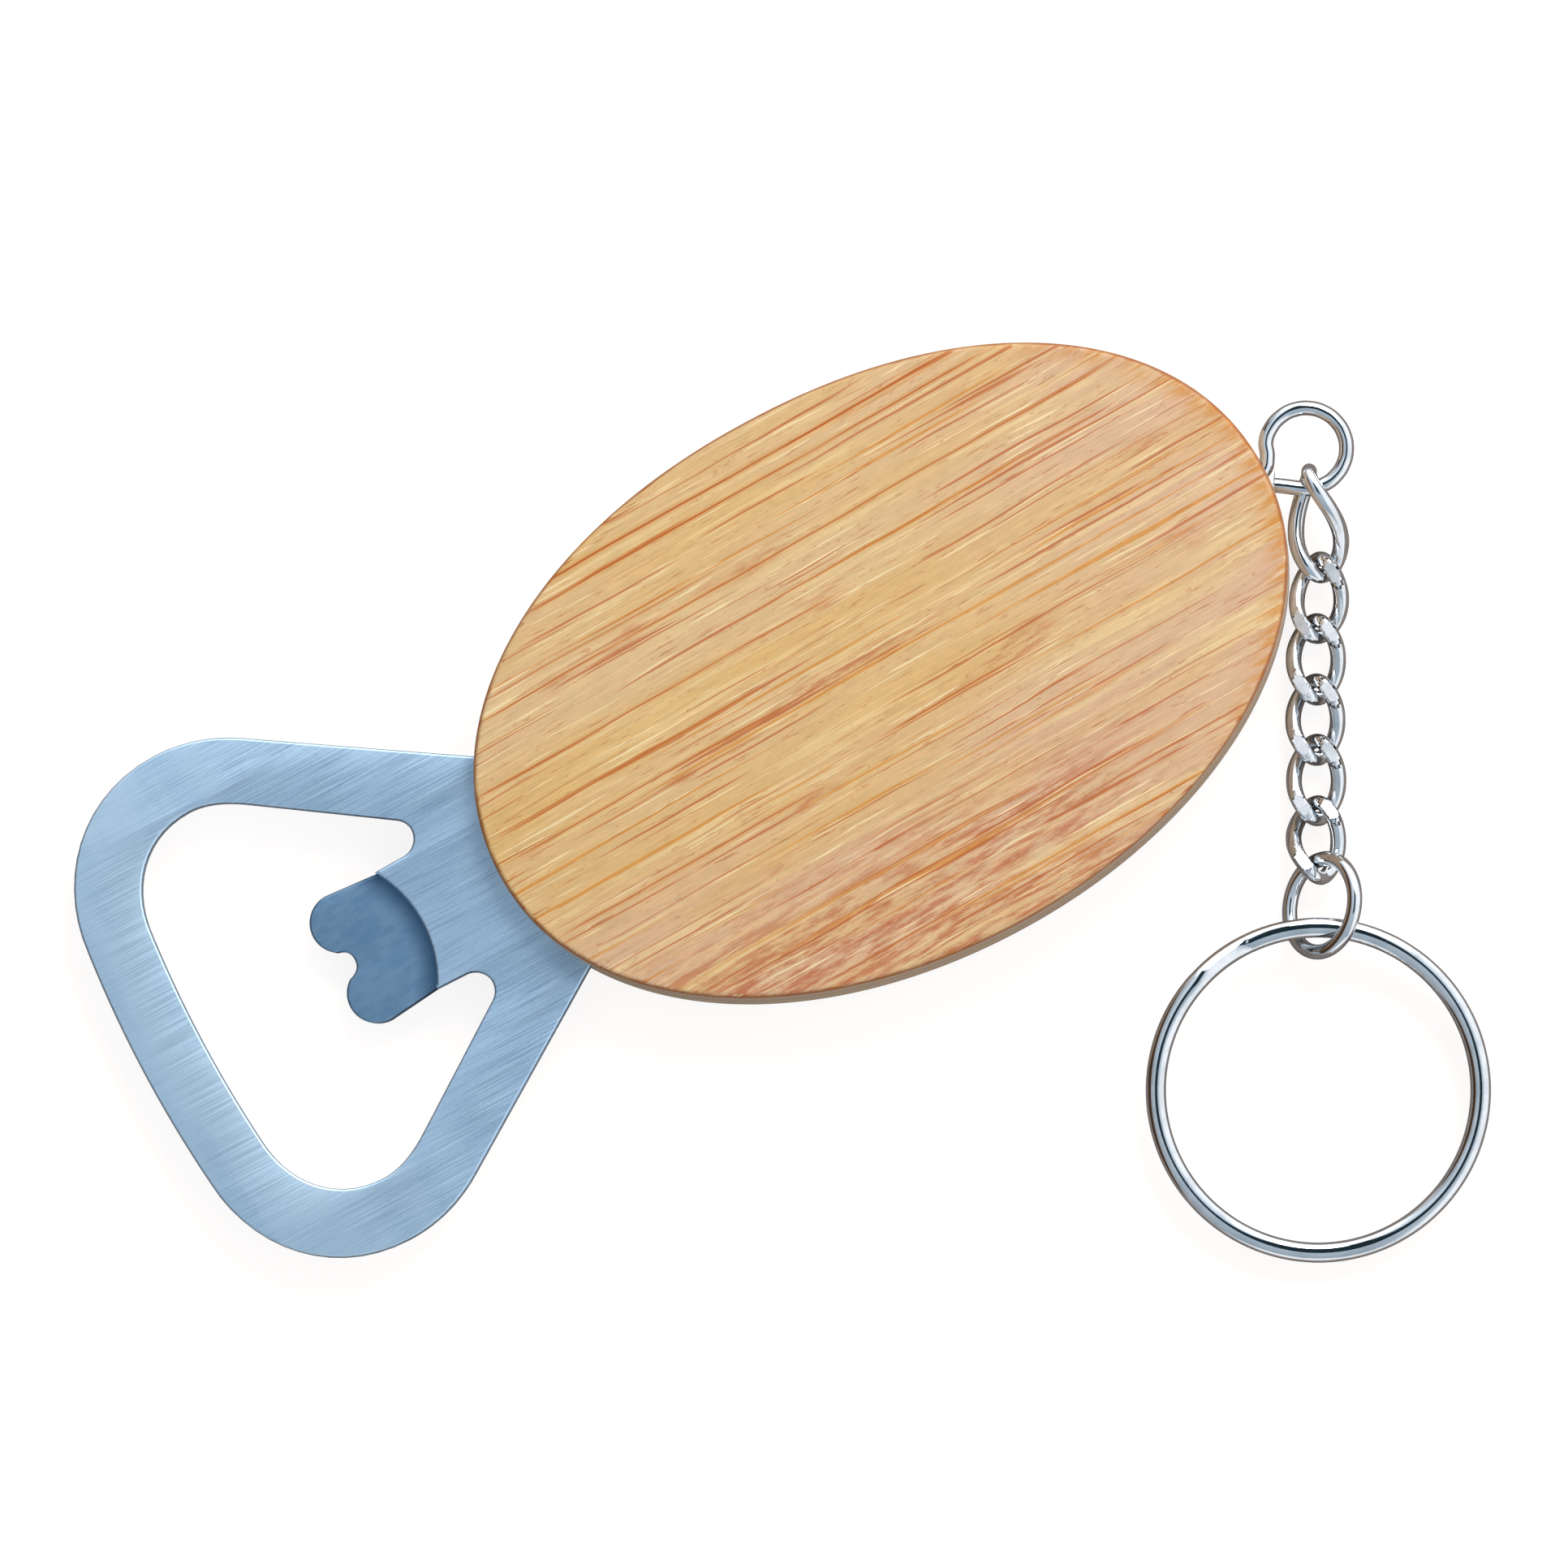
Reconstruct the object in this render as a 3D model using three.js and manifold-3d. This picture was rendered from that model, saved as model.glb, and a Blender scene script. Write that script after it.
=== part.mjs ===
// Keychain bottle opener: a pressed steel opener plate glued between two bamboo covers, a screw eye in
// their far end, and a curb chain that carries a split key ring.
// Millimetres. +X runs along the opener to the screw eye, +Z is up out of the front cover, and the
// origin is the middle of the rear cover's flat face. The chain lies on the plane that the cover rests on.

import * as THREE from 'three';
import * as BufferGeometryUtils from 'three/addons/utils/BufferGeometryUtils.js';
import Module from 'manifold-3d';

const wasm = await Module();
wasm.setup();

// Driving sizes
const bodyLength = 62.8; // bamboo oval, along X
const upperWidth = 20.75; // from the long axis to the +Y side
const lowerWidth = 20.9; // from the long axis to the -Y side
const upperFullness = 2.11; // 2 is an ellipse, more is fuller between the ends and the side
const lowerFullness = 2.03;
const bodyThickness = 6.5; // both covers together
const rimRound = 0.45; // eased edge of the covers
const plateThickness = 1.5;
const plateReach = 61; // from the origin to the plate's far edge
const plateWidth = 39.9; // across the widest part of the head
const edgeEase = 0.12; // broken edge of the pressed steel
const eyeRadius = 2.95; // wire centre of the screw eye's loop
const eyeCentreX = 34.85;
const eyeWire = 1.1; // wire diameter
const keyRingDiameter = 25; // outside
const chainLean = 28.1; // degrees between the chain and the -Y direction

// Sizes that follow
const midPlane = bodyThickness / 2;
const plateTop = midPlane + plateThickness / 2;
const plateBottom = midPlane - plateThickness / 2;
const halfPlate = plateWidth / 2;

// Tang and its dowels, hidden between the covers
const tangHalfWidth = 6;
const tangShoulderX = -24.6; // where the sloped sides turn into the tang
const tangEndX = -6;
const tangCorner = 2;
const shoulderX = -43.2; // where the head's straight sides begin
const headSlope = 0.646; // their fall for each millimetre of X
const recessMouthX = -34; // the recess opens beyond the covers' end
const dowelX = [-20, -11];
const dowelRadius = 1.5;
const dowelTop = 5.3;
const dowelBottom = 1.2;
const fitGap = 0.3; // round a piece let into its neighbour
const neckGap = 0.25; // round the eye's wire where it leaves the covers
const overshoot = 1; // how far a cutter reaches past the surface

// Lifting tooth
const toothStep = 0.6; // pressed below the plate's face
const toothTilt = 5; // degrees, tip downwards
const stepRadius = 9.3; // curved shoulder line behind the tooth
const stepCentreX = -47.3;
const toothHalfWidth = 4.8; // at the shoulder
const toothUnderlap = 0.4; // metal that joins the tooth to the plate
const lobeRadius = 2.2;
const lobeCentre = [-43.4, 2.9];

// Screw thread of the eye
const threadStartX = 21.6;
const threadEndX = 29.2;
const threadPitch = 0.95;
const threadRadius = 0.85;
const threadTurns = 8;
const threadRidge = 0.4; // where in a turn the ridge stands
const threadFoot = 0.7; // where in a turn the ridge ends
const tipLength = 0.6; // point of the screw
const threadRunIn = 0.25; // bare core before the first ridge
const shankEndX = 30.6; // the shank runs on into the eye's wire

// Chain
const curb = { halfLength: 2.85, halfWidth: 1.62, wire: 1.05, twist: [50, -50], thickness: 2.16 };
const connector = { halfLength: 3.88, halfWidth: 1.68, wire: 1.1, twist: [80, -51] };
const endFullness = 2.3; // 2 is an ellipse, more is fuller at the ends
const curbPitch = 4.4;
const jumpRadius = 3.42; // wire centre
const jumpWire = 1.1;
const ringWireWide = 1.45; // radial width of the key ring's wire
const ringWireHigh = 1.1; // height of one turn
const ringTurnGap = 0.08;
const ringEndAngle = 115; // degrees, where the upper turn ends
const ringRampAngle = 23; // the wire crosses to the other turn inside this angle
const ringCorner = 0.3; // cut corner of the key ring's wire
const restGap = 0.02; // keeps the flat links just off the table

// Facets
const ovalSides = 160;
const outlineSegments = 10;
const toothSegments = 8;
const eyeSteps = 44;
const eyeSides = 10;
const linkSteps = 44;
const jumpSteps = 40;
const wireSides = 8;
const ringSteps = 96;
const dowelSides = 20;
const boreSides = 12;

const degrees = THREE.MathUtils.degToRad;

const bamboo = { color: 0xdfb784, roughness: 0.55, metalness: 0 };
const dowelWood = { color: 0xc9a66b, roughness: 0.7, metalness: 0 };
const brushedSteel = { color: 0x9db8cd, roughness: 0.38, metalness: 0.9 };
const nickel = { color: 0xcdd2d6, roughness: 0.18, metalness: 1 };

// --- solids ---

function toSolid(geometry) {
  const bare = geometry.clone();
  bare.deleteAttribute('normal');
  bare.deleteAttribute('uv');
  const merged = BufferGeometryUtils.mergeVertices(bare, 1e-4);
  const mesh = new wasm.Mesh({
    numProp: 3,
    vertProperties: new Float32Array(merged.attributes.position.array),
    triVerts: new Uint32Array(merged.index.array),
  });
  return new wasm.Manifold(mesh);
}

function toGeometry(solid) {
  const mesh = solid.getMesh();
  const geometry = new THREE.BufferGeometry();
  geometry.setAttribute('position', new THREE.BufferAttribute(mesh.vertProperties, 3));
  geometry.setIndex(new THREE.BufferAttribute(mesh.triVerts, 1));
  geometry.computeVertexNormals();
  return geometry;
}

function piece(name, geometry, look) {
  const mesh = new THREE.Mesh(geometry, new THREE.MeshStandardMaterial(look));
  mesh.name = name;
  return mesh;
}

function block(low, high) {
  const geometry = new THREE.BoxGeometry(high[0] - low[0], high[1] - low[1], high[2] - low[2]);
  geometry.translate((low[0] + high[0]) / 2, (low[1] + high[1]) / 2, (low[2] + high[2]) / 2);
  return toSolid(geometry);
}

function uprightCylinder(radius, bottom, top, x) {
  const geometry = new THREE.CylinderGeometry(radius, radius, top - bottom, dowelSides);
  geometry.rotateX(Math.PI / 2);
  geometry.translate(x, 0, (bottom + top) / 2);
  return geometry;
}

function boreAlongX(radius, startX, endX) {
  const geometry = new THREE.CylinderGeometry(radius, radius, endX - startX, boreSides);
  geometry.rotateZ(Math.PI / 2);
  geometry.translate((startX + endX) / 2, 0, midPlane);
  return toSolid(geometry);
}

function slab(shape, bottom, top, curveSegments, ease = 0) {
  const geometry = new THREE.ExtrudeGeometry(shape, {
    depth: top - bottom - 2 * ease,
    curveSegments,
    bevelEnabled: ease > 0,
    bevelThickness: ease,
    bevelSize: ease,
    bevelOffset: -ease,
    bevelSegments: 1,
  });
  geometry.translate(0, 0, bottom + ease);
  return geometry;
}

// --- bamboo covers ---

// an oval a little fuller than an ellipse, more so on its +Y side
function ovalOutline() {
  const shape = new THREE.Shape();
  for (let i = 0; i < ovalSides; i++) {
    const angle = (2 * Math.PI * i) / ovalSides;
    const upper = angle < Math.PI;
    const power = 2 / (upper ? upperFullness : lowerFullness);
    const x = Math.sign(Math.cos(angle)) * Math.abs(Math.cos(angle)) ** power * (bodyLength / 2);
    const reach = Math.abs(Math.sin(angle)) ** power;
    const y = upper ? reach * upperWidth : -reach * lowerWidth;
    const put = i ? 'lineTo' : 'moveTo';
    shape[put](x, y);
  }
  shape.closePath();
  return shape;
}

function ovalBody() {
  const geometry = new THREE.ExtrudeGeometry(ovalOutline(), {
    depth: bodyThickness - 2 * rimRound,
    bevelThickness: rimRound,
    bevelSize: rimRound,
    bevelOffset: -rimRound,
    bevelSegments: 2,
  });
  geometry.translate(0, 0, rimRound);
  return toSolid(geometry);
}

// the recess for the tang, open at the covers' end
function tangRecess() {
  const half = tangHalfWidth + fitGap;
  const mouthHalf = half + (tangShoulderX - recessMouthX) * headSlope;
  const shape = new THREE.Shape();
  shape.moveTo(recessMouthX, -mouthHalf);
  shape.lineTo(tangShoulderX, -half);
  shape.lineTo(tangEndX + fitGap, -half);
  shape.lineTo(tangEndX + fitGap, half);
  shape.lineTo(tangShoulderX, half);
  shape.lineTo(recessMouthX, mouthHalf);
  shape.closePath();
  return toSolid(slab(shape, plateBottom, plateTop, 1));
}

function coverHollows() {
  let hollows = tangRecess();
  for (const x of dowelX) {
    const hole = uprightCylinder(dowelRadius + fitGap, dowelBottom - fitGap, dowelTop + fitGap, x);
    hollows = hollows.add(toSolid(hole));
  }
  const tipX = threadStartX - tipLength;
  const threadBore = boreAlongX(threadRadius + fitGap, tipX - fitGap, threadEndX + fitGap);
  const neckBore = boreAlongX(eyeWire / 2 + neckGap, threadStartX, bodyLength / 2 + overshoot);
  return hollows.add(threadBore).add(neckBore);
}

function cover(name, bottom, top) {
  const half = block([-bodyLength, -bodyLength, bottom], [bodyLength, bodyLength, top]);
  const solid = ovalBody().intersect(half).subtract(coverHollows());
  return piece(name, toGeometry(solid), bamboo);
}

// --- steel opener plate ---

// from the far edge along the -Y side to the tang, then back along the +Y side
function plateOutline() {
  const crestX = -49.6;
  const cornerX = -60.5;
  const cornerY = 9.5;
  const shoulderY = tangHalfWidth + (tangShoulderX - shoulderX) * headSlope;
  const tangentX = shoulderX - (halfPlate - shoulderY) / headSlope;
  const shape = new THREE.Shape();
  shape.moveTo(cornerX, cornerY);
  shape.quadraticCurveTo(-2 * plateReach - cornerX, 0, cornerX, -cornerY);
  shape.bezierCurveTo(-60.1, -15.2, -55.8, -halfPlate, crestX, -halfPlate);
  shape.quadraticCurveTo(tangentX, -halfPlate, shoulderX, -shoulderY);
  shape.lineTo(tangShoulderX, -tangHalfWidth);
  shape.lineTo(tangEndX - tangCorner, -tangHalfWidth);
  shape.quadraticCurveTo(tangEndX, -tangHalfWidth, tangEndX, tangCorner - tangHalfWidth);
  shape.lineTo(tangEndX, tangHalfWidth - tangCorner);
  shape.quadraticCurveTo(tangEndX, tangHalfWidth, tangEndX - tangCorner, tangHalfWidth);
  shape.lineTo(tangShoulderX, tangHalfWidth);
  shape.lineTo(shoulderX, shoulderY);
  shape.quadraticCurveTo(tangentX, halfPlate, crestX, halfPlate);
  shape.bezierCurveTo(-55.8, halfPlate, -60.1, 15.2, cornerX, cornerY);
  return shape;
}

// the mouth that goes over a cap, with a round notch each side of the tooth
function mouthOutline() {
  const farX = -56.15;
  const wallX = -55.75;
  const wallY = 8.5;
  const crest = [-49.2, 15.15];
  const notch = { x: -37, y: 6.3, radius: 1.45, start: degrees(56) };
  const path = new THREE.Path();
  path.moveTo(wallX, -wallY);
  path.quadraticCurveTo(2 * farX - wallX, 0, wallX, wallY);
  path.bezierCurveTo(-55.5, 12.2, -53, crest[1], crest[0], crest[1]);
  path.quadraticCurveTo(-47.4, crest[1], -45.2, 13.65);
  path.absarc(notch.x, notch.y, notch.radius, notch.start, -Math.PI / 2, true);
  const stepAngle = Math.asin(toothHalfWidth / stepRadius);
  path.absarc(stepCentreX, 0, stepRadius, stepAngle, -stepAngle, true);
  path.absarc(notch.x, -notch.y, notch.radius, Math.PI / 2, -notch.start, true);
  path.lineTo(-45.2, -13.65);
  path.quadraticCurveTo(-47.4, -crest[1], crest[0], -crest[1]);
  path.bezierCurveTo(-53, -crest[1], -55.5, -12.2, wallX, -wallY);
  return path;
}

// two round lobes with a small notch between them, and a curved root under the plate
function toothOutline() {
  const lobeEnd = degrees(235);
  const [lobeX, lobeY] = lobeCentre;
  const notchX = -43.68;
  const rootRadius = stepRadius + toothUnderlap;
  const rootAngle = Math.asin((toothHalfWidth - edgeEase) / rootRadius);
  const innerX = lobeX + lobeRadius * Math.cos(lobeEnd);
  const innerY = lobeY + lobeRadius * Math.sin(lobeEnd);
  const shape = new THREE.Shape();
  shape.moveTo(lobeX, lobeY + lobeRadius);
  shape.absarc(lobeX, lobeY, lobeRadius, Math.PI / 2, lobeEnd, false);
  shape.quadraticCurveTo(notchX, 0.85, notchX, 0);
  shape.quadraticCurveTo(notchX, -0.85, innerX, -innerY);
  shape.absarc(lobeX, -lobeY, lobeRadius, -lobeEnd, -Math.PI / 2, false);
  shape.absarc(stepCentreX, 0, rootRadius, -rootAngle, rootAngle, false);
  shape.closePath();
  return shape;
}

function openerPlate() {
  const outline = plateOutline();
  outline.holes.push(mouthOutline());
  for (const x of dowelX) {
    const hole = new THREE.Path();
    hole.absarc(x, 0, dowelRadius + fitGap, 0, 2 * Math.PI, true);
    outline.holes.push(hole);
  }
  const plate = toSolid(slab(outline, plateBottom, plateTop, outlineSegments, edgeEase));
  const tooth = slab(toothOutline(), -plateThickness, 0, toothSegments, edgeEase);
  const hingeX = stepCentreX + stepRadius;
  tooth.translate(-hingeX, 0, 0);
  tooth.rotateY(degrees(-toothTilt));
  tooth.translate(hingeX, 0, plateTop - toothStep);
  return piece('opener_plate', toGeometry(plate.add(toSolid(tooth))), brushedSteel);
}

function dowel(name, x) {
  return piece(name, uprightCylinder(dowelRadius, dowelBottom, dowelTop, x), dowelWood);
}

// --- screw eye ---

// out of the wood, round the loop and back to the wood's edge
function eyePath() {
  const points = [[30.2, 0], [31.4, 0.02], [32.1, 0.8]];
  const loopStart = 142;
  const loopEnd = -114;
  const loopSteps = 12;
  for (let step = 0; step <= loopSteps; step++) {
    const angle = degrees(THREE.MathUtils.lerp(loopStart, loopEnd, step / loopSteps));
    points.push([eyeCentreX + eyeRadius * Math.cos(angle), eyeRadius * Math.sin(angle)]);
  }
  points.push([33.1, -2.42], [31.95, -1.5]);
  return new THREE.CatmullRomCurve3(points.map(([x, y]) => new THREE.Vector3(x, y, midPlane)));
}

function roundSection(radius, sides) {
  const shape = new THREE.Shape();
  for (let i = 0; i < sides; i++) {
    const angle = (2 * Math.PI * i) / sides;
    const put = i ? 'lineTo' : 'moveTo';
    shape[put](radius * Math.cos(angle), radius * Math.sin(angle));
  }
  shape.closePath();
  return shape;
}

// a pointed core with one ridge for each turn of the thread
function threadedShank() {
  const core = eyeWire / 2;
  const profile = [[0, threadStartX - tipLength], [core * 0.6, threadStartX]];
  for (let turn = 0; turn < threadTurns; turn++) {
    const x = threadStartX + threadRunIn + turn * threadPitch;
    profile.push([core, x]);
    profile.push([threadRadius, x + threadPitch * threadRidge]);
    profile.push([core, x + threadPitch * threadFoot]);
  }
  profile.push([core, shankEndX], [0, shankEndX]);
  const points = profile.map(([radius, x]) => new THREE.Vector2(radius, x));
  const geometry = new THREE.LatheGeometry(points, eyeSides);
  geometry.rotateZ(-Math.PI / 2);
  geometry.translate(0, 0, midPlane);
  return geometry;
}

function screwEye() {
  const wire = new THREE.ExtrudeGeometry(roundSection(eyeWire / 2, eyeSides), {
    steps: eyeSteps,
    extrudePath: eyePath(),
  });
  const solid = toSolid(wire).add(toSolid(threadedShank()));
  return piece('screw_eye', toGeometry(solid), nickel);
}

// --- chain links ---

// the centre line of a twisted link, lying along X, with its two ends turned about X
class LinkCurve extends THREE.Curve {
  constructor(halfLength, halfWidth, twist) {
    super();
    this.halfLength = halfLength;
    this.halfWidth = halfWidth;
    this.twist = twist;
  }

  getPoint(t, target = new THREE.Vector3()) {
    const angle = 2 * Math.PI * t;
    const full = 2 / endFullness;
    const along = Math.sign(Math.cos(angle)) * Math.abs(Math.cos(angle)) ** full;
    const across = Math.sign(Math.sin(angle)) * Math.abs(Math.sin(angle)) ** full * this.halfWidth;
    const turn = degrees(THREE.MathUtils.mapLinear(along, -1, 1, ...this.twist));
    return target.set(along * this.halfLength, across * Math.cos(turn), across * Math.sin(turn));
  }
}

function linkGeometry({ halfLength, halfWidth, wire, twist }) {
  const curve = new LinkCurve(halfLength, halfWidth, twist);
  return new THREE.TubeGeometry(curve, linkSteps, wire / 2, wireSides, true);
}

// pressed flat on both faces, as a curb chain is
function curbGeometry() {
  const reach = 2 * curb.halfLength;
  const flat = block([-reach, -reach, -curb.thickness / 2], [reach, reach, curb.thickness / 2]);
  return toGeometry(toSolid(linkGeometry(curb)).intersect(flat));
}

// wire of two turns, one above the other, that crosses from one to the other near its ends
class SplitRingCurve extends THREE.Curve {
  getPoint(t, target = new THREE.Vector3()) {
    const radius = (keyRingDiameter - ringWireWide) / 2;
    const flatTurn = 360 - ringRampAngle;
    const travelled = t * (2 * flatTurn + ringRampAngle);
    const crossed = THREE.MathUtils.smoothstep(travelled, flatTurn, flatTurn + ringRampAngle);
    const angle = degrees(ringEndAngle - travelled + 90);
    const rise = (ringWireHigh + ringTurnGap) * (0.5 - crossed);
    return target.set(radius * Math.cos(angle), radius * Math.sin(angle), rise);
  }
}

function splitRingGeometry() {
  const half = [ringWireHigh / 2, ringWireWide / 2];
  const section = new THREE.Shape();
  section.moveTo(half[0], half[1] - ringCorner);
  section.lineTo(half[0] - ringCorner, half[1]);
  section.lineTo(ringCorner - half[0], half[1]);
  section.lineTo(-half[0], half[1] - ringCorner);
  section.lineTo(-half[0], ringCorner - half[1]);
  section.lineTo(ringCorner - half[0], -half[1]);
  section.lineTo(half[0] - ringCorner, -half[1]);
  section.lineTo(half[0], ringCorner - half[1]);
  section.closePath();
  return new THREE.ExtrudeGeometry(section, { steps: ringSteps, extrudePath: new SplitRingCurve() });
}

// --- how the chain lies: along the chain, to its right and up, then its roll, pitch and yaw ---

function lay(mesh, [along, right, up], [roll, pitch, yaw] = [0, 0, 0]) {
  mesh.position.set(along, right, up);
  mesh.rotation.set(degrees(roll), degrees(pitch), degrees(yaw), 'ZYX');
  return mesh;
}

function chain() {
  const group = new THREE.Group();
  group.position.set(eyeCentreX, 0, 0);
  group.rotation.z = degrees(-90 - chainLean);
  const flatUp = curb.thickness / 2 + restGap;
  const firstFlat = 15.2;
  const link = piece('connector_link', linkGeometry(connector), nickel);
  group.add(lay(link, [5.41, 0.75, 2.54], [15, 16, 8]));
  const curbPoses = [
    [[10.73, 0.91, 1.4], [6.8, 7.6, -3.4]],
    [[firstFlat, 0.65, flatUp]],
    [[firstFlat + curbPitch, 0.6, flatUp]],
    [[firstFlat + 2 * curbPitch, 0.65, flatUp]],
    [[28.44, 0.61, 1.72], [-3.7, -14.8, 2.8]],
  ];
  curbPoses.forEach(([place, turn], i) => {
    group.add(lay(piece(`curb_link_${i + 1}`, curbGeometry(), nickel), place, turn));
  });
  const jumpTorus = new THREE.TorusGeometry(jumpRadius, jumpWire / 2, wireSides, jumpSteps);
  const jump = piece('jump_ring', jumpTorus, nickel);
  group.add(lay(jump, [33.3, 1.08, 3.02], [44, -15.1, 8.1]));
  const ring = piece('split_ring', splitRingGeometry(), nickel);
  group.add(lay(ring, [46.66, 0.75, 2.26], [-2.6, 4.3, 0]));
  return group;
}

const opener = new THREE.Group();
opener.add(cover('rear_cover', 0, midPlane));
opener.add(cover('front_cover', midPlane, bodyThickness));
opener.add(openerPlate());
dowelX.forEach((x, i) => opener.add(dowel(`dowel_${i + 1}`, x)));
opener.add(screwEye());
opener.add(chain());

export default opener;
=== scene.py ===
import math

import bpy
from mathutils import Euler, Matrix, Vector


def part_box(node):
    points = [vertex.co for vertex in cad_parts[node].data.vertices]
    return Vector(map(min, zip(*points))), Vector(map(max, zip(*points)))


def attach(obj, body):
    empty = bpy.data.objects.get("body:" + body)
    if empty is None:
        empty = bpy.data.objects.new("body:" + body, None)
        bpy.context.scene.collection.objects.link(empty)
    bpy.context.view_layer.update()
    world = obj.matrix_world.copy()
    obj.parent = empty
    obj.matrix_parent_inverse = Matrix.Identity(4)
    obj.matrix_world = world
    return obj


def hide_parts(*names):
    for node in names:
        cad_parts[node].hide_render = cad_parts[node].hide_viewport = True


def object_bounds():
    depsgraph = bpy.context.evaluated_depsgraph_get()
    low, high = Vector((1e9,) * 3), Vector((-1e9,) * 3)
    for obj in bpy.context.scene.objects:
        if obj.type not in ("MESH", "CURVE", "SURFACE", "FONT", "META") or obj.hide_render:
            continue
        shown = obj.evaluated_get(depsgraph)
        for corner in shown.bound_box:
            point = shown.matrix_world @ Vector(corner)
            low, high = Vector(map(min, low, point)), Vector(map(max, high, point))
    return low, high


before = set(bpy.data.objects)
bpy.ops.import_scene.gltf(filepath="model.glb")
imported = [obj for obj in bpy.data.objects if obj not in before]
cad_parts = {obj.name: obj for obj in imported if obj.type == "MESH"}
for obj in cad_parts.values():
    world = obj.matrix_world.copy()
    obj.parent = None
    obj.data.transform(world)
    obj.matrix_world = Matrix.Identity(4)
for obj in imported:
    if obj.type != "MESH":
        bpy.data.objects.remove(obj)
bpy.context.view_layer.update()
mm = 0.001
scene = bpy.context.scene

coverLow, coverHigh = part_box("rear_cover")
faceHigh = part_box("front_cover")[1]
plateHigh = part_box("opener_plate")[1]
midHeight = coverHigh.z  # glue line between the covers

# camera: square on to the front face, tipped a little to show the lower side wall
cameraSet = {
    "frameWidth": 113.6 * mm,
    "distance": 1.2,
    "aimX": -10.1 * mm,
    "aimY": -3.9 * mm,
    "turn": 28.1,
    "tip": 5.7,
}


def makeCamera():
    tip = math.radians(cameraSet["tip"])
    turn = math.radians(cameraSet["turn"])
    back = Vector((0, -math.sin(tip), math.cos(tip)))
    right = Vector((math.sin(turn), math.cos(turn), 0)).cross(back).normalized()
    up = back.cross(right)
    aim = Vector((cameraSet["aimX"], cameraSet["aimY"], faceHigh.z))
    turned = Matrix((right, up, back)).transposed().to_4x4()
    bpy.ops.object.camera_add()
    camera = bpy.context.object
    camera.matrix_world = Matrix.Translation(aim + back * cameraSet["distance"]) @ turned
    camera.data.sensor_width = 36
    camera.data.lens = 36 * cameraSet["distance"] / cameraSet["frameWidth"]
    camera.data.clip_start = 0.05
    camera.data.clip_end = 20
    scene.camera = camera


makeCamera()
print("camera is up")


def deselectAll():
    if bpy.context.object and bpy.context.object.mode != "OBJECT":
        bpy.ops.object.mode_set(mode="OBJECT")
    bpy.ops.object.select_all(action="DESELECT")


def pick(piece):
    deselectAll()
    piece.select_set(True)
    bpy.context.view_layer.objects.active = piece


def editMode(piece):
    pick(piece)
    bpy.ops.object.mode_set(mode="EDIT")


def objectMode():
    bpy.ops.object.mode_set(mode="OBJECT")


def selectVerts(piece, test):
    # vertices by their place, with the edges and faces between them
    bpy.ops.mesh.select_mode(type="VERT")
    bpy.ops.mesh.select_all(action="DESELECT")
    objectMode()
    for vert in piece.data.vertices:
        vert.select = test(vert.co)
    bpy.ops.object.mode_set(mode="EDIT")


def applyPlace(piece):
    pick(piece)
    bpy.ops.object.transform_apply(location=True, rotation=True, scale=True)


def cutWith(piece, cutter, operation="DIFFERENCE"):
    pick(piece)
    modifier = piece.modifiers.new("cut", "BOOLEAN")
    modifier.operation = operation
    modifier.solver = "EXACT"
    modifier.object = cutter
    bpy.ops.object.modifier_apply(modifier=modifier.name)
    bpy.data.objects.remove(cutter)


def closeUp(piece, merge=1e-7):
    editMode(piece)
    bpy.ops.mesh.select_all(action="SELECT")
    bpy.ops.mesh.remove_doubles(threshold=merge)
    bpy.ops.mesh.normals_make_consistent(inside=False)
    objectMode()


def finishPiece(piece, name, body, material, nodes, angle=32):
    pick(piece)
    bpy.ops.object.shade_smooth_by_angle(angle=math.radians(angle))
    piece.name = name
    piece.data.name = name
    piece.data.materials.clear()
    piece.data.materials.append(material)
    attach(piece, body)
    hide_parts(*nodes)


def newMaterial(name):
    material = bpy.data.materials.new(name)
    material.use_nodes = True
    tree = material.node_tree
    return material, tree, tree.nodes["Principled BSDF"]


def plug(tree, socket, value):
    if isinstance(value, bpy.types.NodeSocket):
        tree.links.new(value, socket)
    else:
        socket.default_value = value


def math2(tree, operation, first, second=0.0, third=0.0, clamp=False):
    node = tree.nodes.new("ShaderNodeMath")
    node.operation = operation
    node.use_clamp = clamp
    for socket, value in zip(node.inputs, (first, second, third)):
        plug(tree, socket, value)
    return node.outputs[0]


def fade(tree, value, fromLow, fromHigh, toLow=0.0, toHigh=1.0):
    node = tree.nodes.new("ShaderNodeMapRange")
    node.interpolation_type = "SMOOTHSTEP"
    for socket, number in zip(node.inputs, (value, fromLow, fromHigh, toLow, toHigh)):
        plug(tree, socket, number)
    return node.outputs[0]


def blend(tree, factor, first, second, kind="MIX"):
    node = tree.nodes.new("ShaderNodeMix")
    node.data_type = "RGBA"
    node.blend_type = kind
    plug(tree, node.inputs["Factor"], factor)
    plug(tree, node.inputs["A"], first)
    plug(tree, node.inputs["B"], second)
    return node.outputs["Result"]


def objectPlace(tree, turn=0.0):
    place = tree.nodes.new("ShaderNodeTexCoord").outputs["Object"]
    if not turn:
        return place
    mapping = tree.nodes.new("ShaderNodeMapping")
    plug(tree, mapping.inputs["Vector"], place)
    mapping.inputs["Rotation"].default_value = (0, 0, math.radians(turn))
    return mapping.outputs[0]


def parts(tree, vector):
    node = tree.nodes.new("ShaderNodeSeparateXYZ")
    plug(tree, node.inputs[0], vector)
    return node.outputs


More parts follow.
